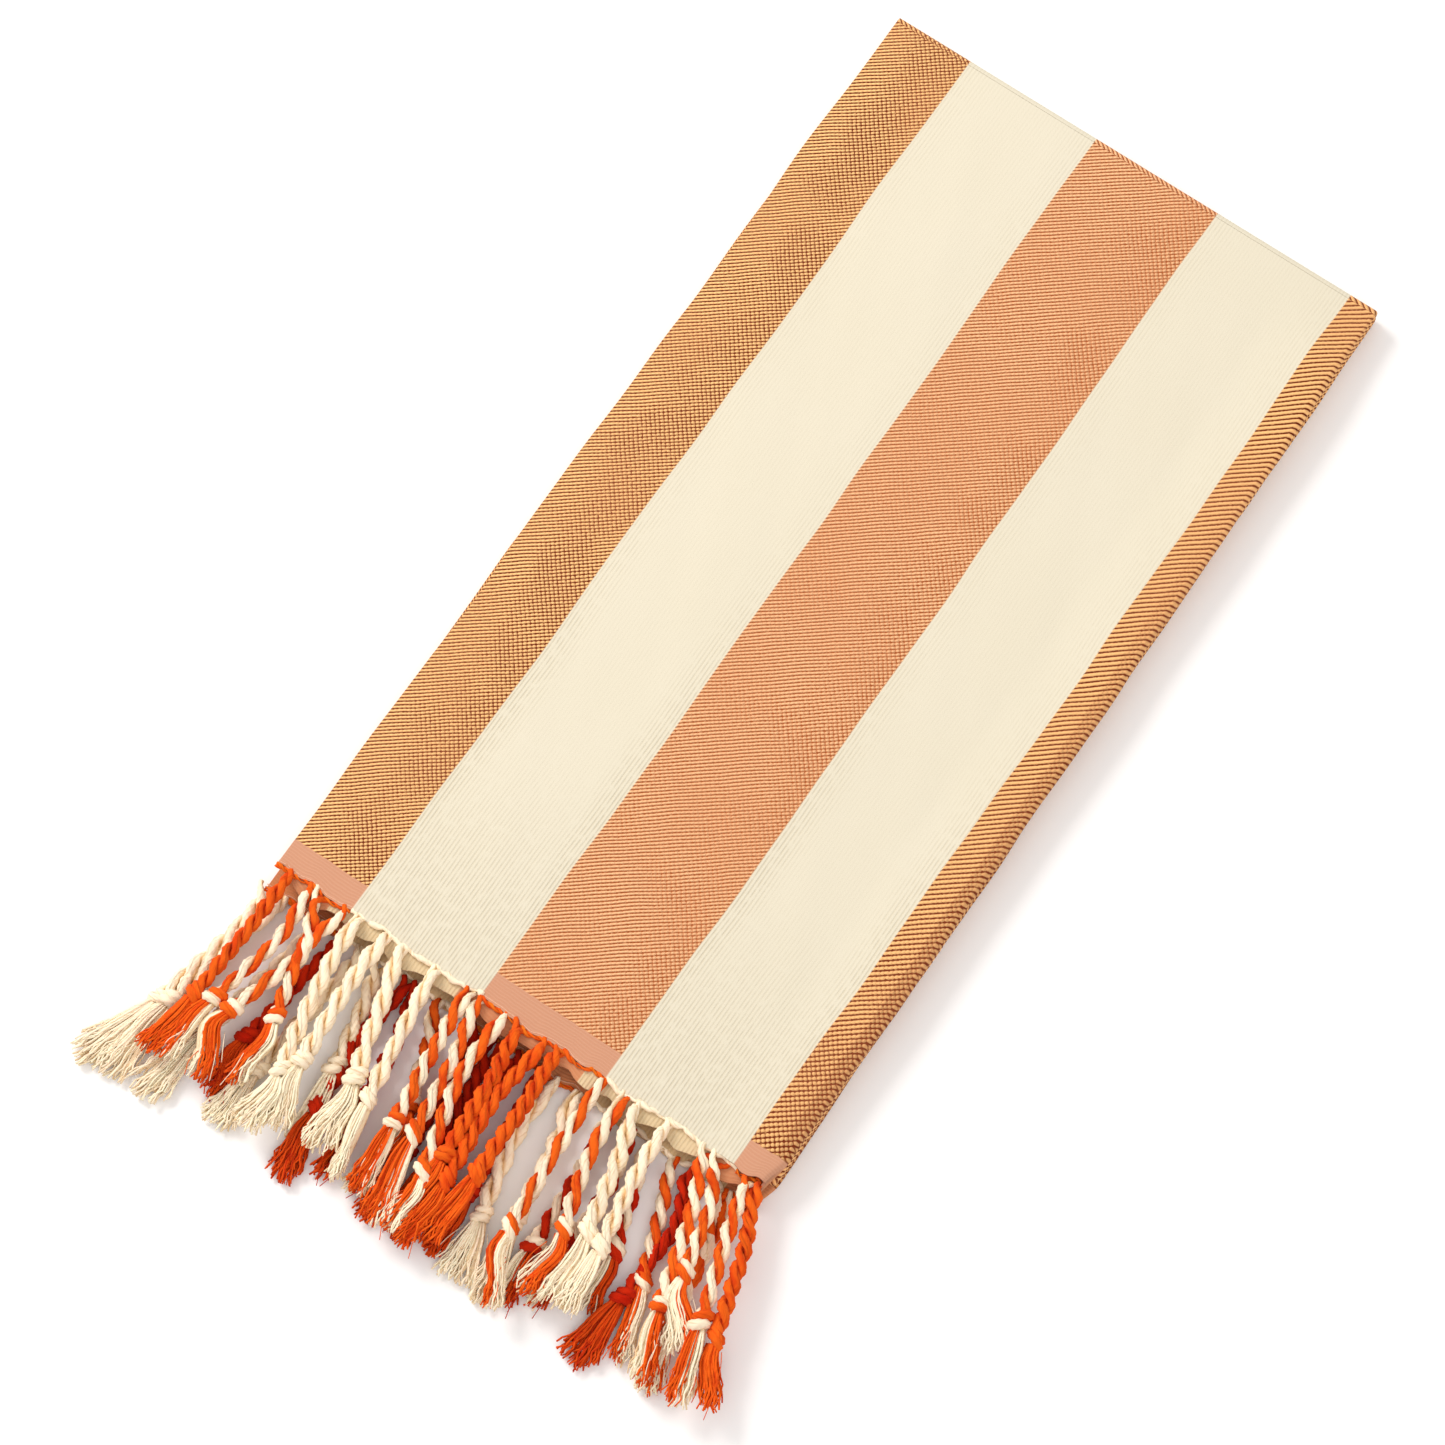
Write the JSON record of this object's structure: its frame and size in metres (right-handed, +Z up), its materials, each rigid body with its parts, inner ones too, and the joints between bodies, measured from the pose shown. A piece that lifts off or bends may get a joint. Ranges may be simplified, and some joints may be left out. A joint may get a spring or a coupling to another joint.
{
  "type": "table runner",
  "caption": "Striped woven cotton table runner, folded lengthwise and then zigzag into a flat packet, with twisted and knotted tassel fringe at both ends.",
  "frame": {"origin": "middle of the folded runner's underside, halfway along the woven packet", "axes": "+Z up from the surface it lies on, +Y along the runner towards its far folds and away from the fringe, +X towards the lengthwise fold"},
  "size_m": [0.1909, 0.3821, 0.0129],
  "materials": {
    "striped_cloth": "woven cotton, matt",
    "plain_band": "plain woven cotton, matt",
    "fringe_yarn": "twisted cotton yarn, matt"
  },
  "bodies": {
    "lowest_leaf": {"leaf_4": "striped_cloth", "band_b": "plain_band"},
    "third_leaf": {"leaf_3": "striped_cloth"},
    "second_leaf": {"leaf_2": "striped_cloth"},
    "top_leaf": {"leaf_1": "striped_cloth", "band_a": "plain_band"},
    "fringe_a": {"tassel_a_01": "fringe_yarn", "tassel_a_02": "fringe_yarn", "tassel_a_03": "fringe_yarn", "tassel_a_04": "fringe_yarn", "tassel_a_05": "fringe_yarn", "tassel_a_06": "fringe_yarn", "tassel_a_07": "fringe_yarn", "tassel_a_08": "fringe_yarn", "tassel_a_09": "fringe_yarn", "tassel_a_10": "fringe_yarn", "tassel_a_11": "fringe_yarn", "tassel_a_12": "fringe_yarn", "tassel_a_13": "fringe_yarn", "tassel_a_14": "fringe_yarn", "tassel_a_15": "fringe_yarn", "tassel_a_16": "fringe_yarn", "tassel_a_17": "fringe_yarn", "tassel_a_18": "fringe_yarn", "tassel_a_19": "fringe_yarn", "tassel_a_20": "fringe_yarn", "tassel_a_21": "fringe_yarn", "tassel_a_22": "fringe_yarn"},
    "fringe_b": {"tassel_b_01": "fringe_yarn", "tassel_b_02": "fringe_yarn", "tassel_b_03": "fringe_yarn", "tassel_b_04": "fringe_yarn", "tassel_b_05": "fringe_yarn", "tassel_b_06": "fringe_yarn", "tassel_b_07": "fringe_yarn", "tassel_b_08": "fringe_yarn", "tassel_b_09": "fringe_yarn", "tassel_b_10": "fringe_yarn", "tassel_b_11": "fringe_yarn", "tassel_b_12": "fringe_yarn", "tassel_b_13": "fringe_yarn", "tassel_b_14": "fringe_yarn", "tassel_b_15": "fringe_yarn", "tassel_b_16": "fringe_yarn", "tassel_b_17": "fringe_yarn", "tassel_b_18": "fringe_yarn", "tassel_b_19": "fringe_yarn", "tassel_b_20": "fringe_yarn", "tassel_b_21": "fringe_yarn", "tassel_b_22": "fringe_yarn"}
  },
  "joints": [
    {"name": "far_fold_low", "type": "hinge", "parent": "lowest_leaf", "child": "third_leaf", "pos_m": [0, 0.15505, 0.00195], "axis": [-1, 0, 0], "range_deg": [0, 180]},
    {"name": "near_fold", "type": "hinge", "parent": "third_leaf", "child": "second_leaf", "pos_m": [0, -0.15205, 0.00395], "axis": [1, 0, 0], "range_deg": [0, 180]},
    {"name": "far_fold_top", "type": "hinge", "parent": "second_leaf", "child": "top_leaf", "pos_m": [0, 0.15505, 0.00595], "axis": [-1, 0, 0], "range_deg": [0, 180]},
    {"name": "fringe_a_swing", "type": "hinge", "parent": "top_leaf", "child": "fringe_a", "pos_m": [0, -0.155, 0.00795], "axis": [-1, 0, 0], "range_deg": [0, 90]},
    {"name": "fringe_b_swing", "type": "hinge", "parent": "lowest_leaf", "child": "fringe_b", "pos_m": [0, -0.161, 0], "axis": [1, 0, 0], "range_deg": [0, 90]}
  ],
  "couplings": [
    {"joint": "near_fold", "follows": "far_fold_low", "ratio": 1}
  ]
}
